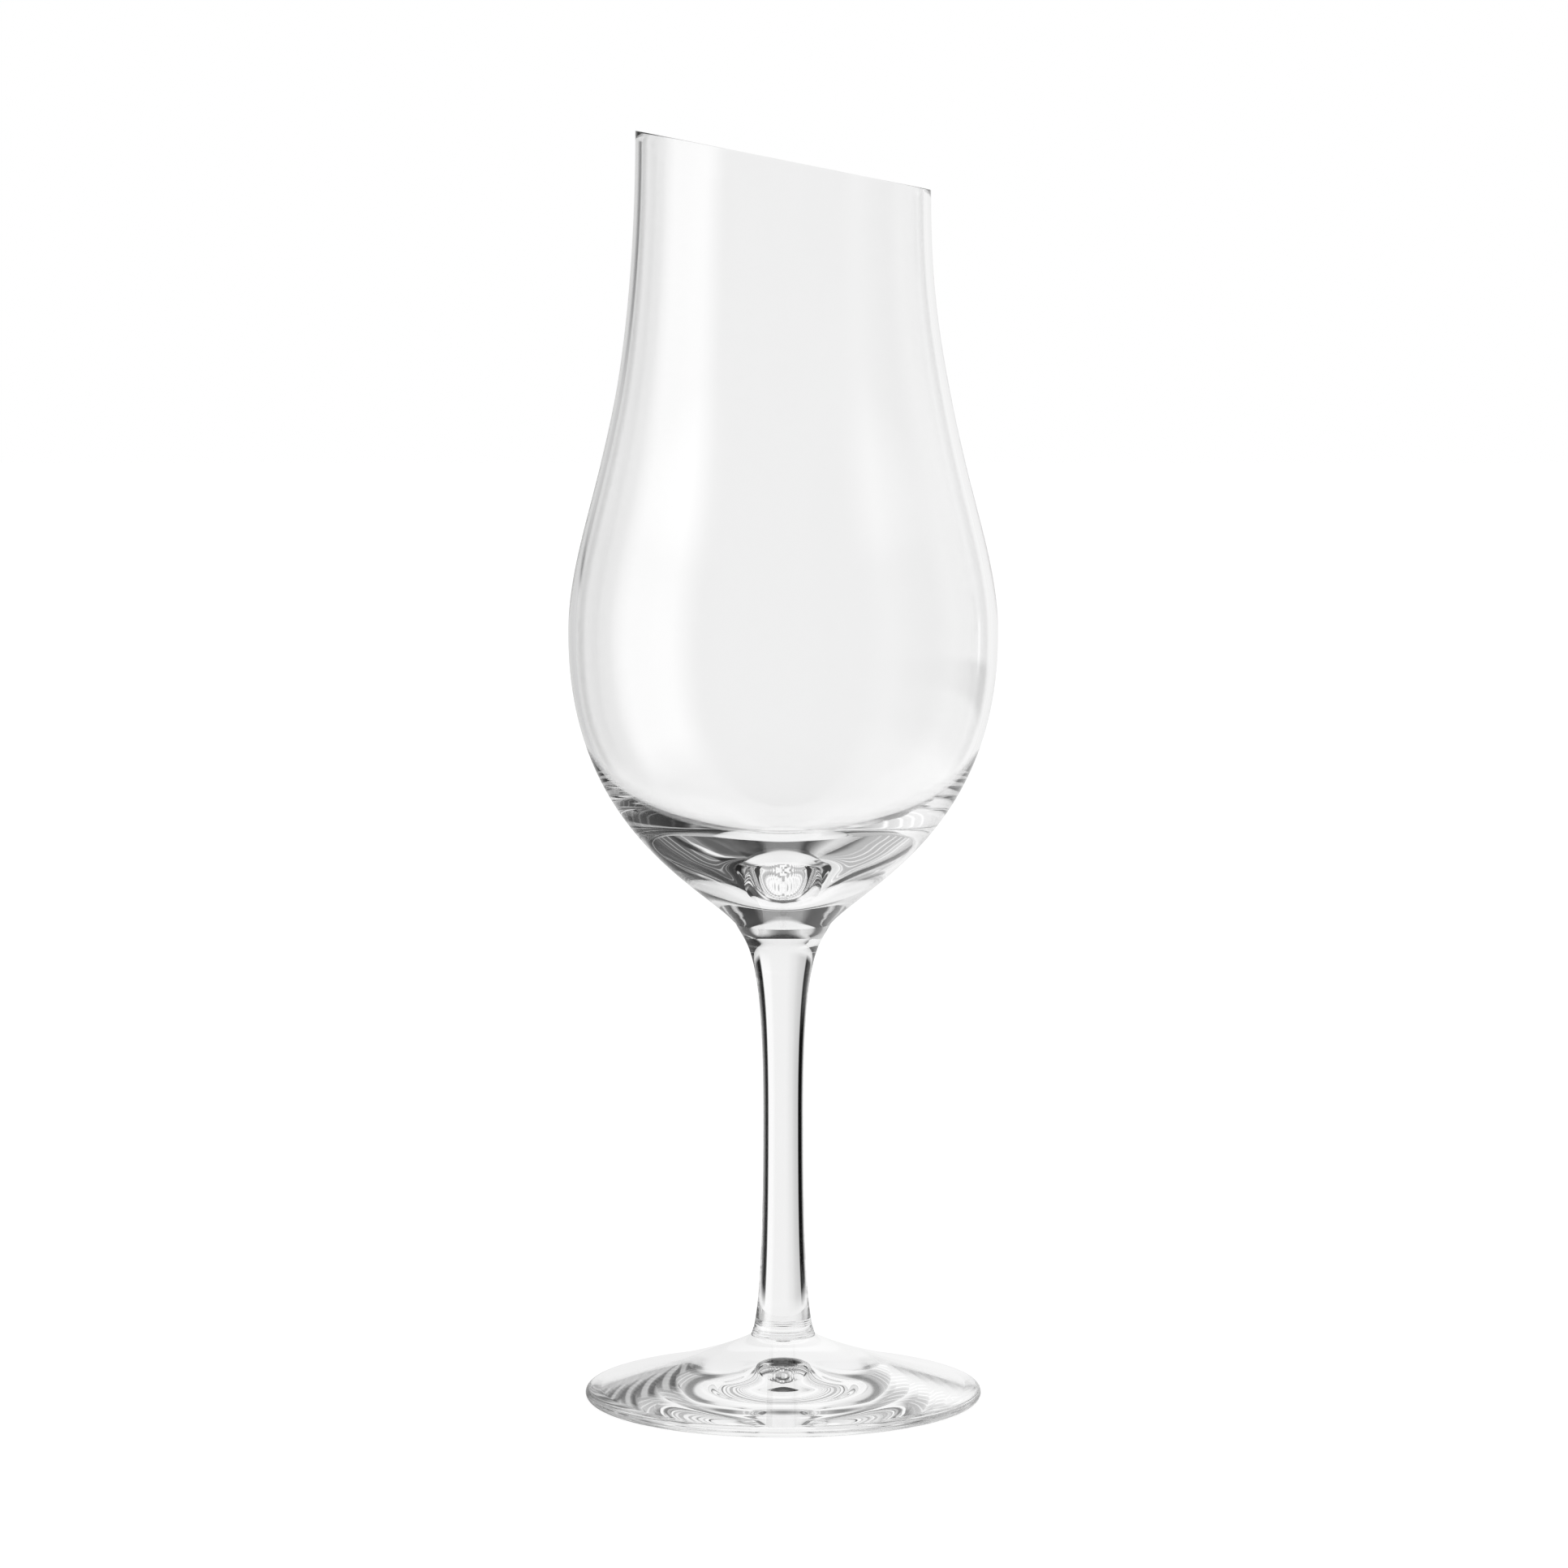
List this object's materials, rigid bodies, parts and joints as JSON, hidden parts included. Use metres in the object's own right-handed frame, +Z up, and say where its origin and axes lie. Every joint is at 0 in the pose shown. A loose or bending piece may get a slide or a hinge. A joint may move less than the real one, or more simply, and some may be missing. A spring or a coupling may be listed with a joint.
{
  "type": "spirits glass",
  "caption": "Clear stemmed spirits glass: a blown tulip bowl with a slanted mouth, on a slim drawn stem and a round foot.",
  "frame": {"origin": "on the glass's axis, on the table under the foot", "axes": "+Z up along the stem, +X towards the low side of the slanted mouth"},
  "size_m": [0.0708, 0.0708, 0.21],
  "materials": {
    "bowl_glass": "fire-polished, clear and colourless",
    "stem_glass": "fire-polished, clear and colourless",
    "foot_glass": "fire-polished, clear and colourless"
  },
  "bodies": {
    "root": {"bowl": "bowl_glass", "stem": "stem_glass", "foot": "foot_glass"}
  },
  "joints": []
}
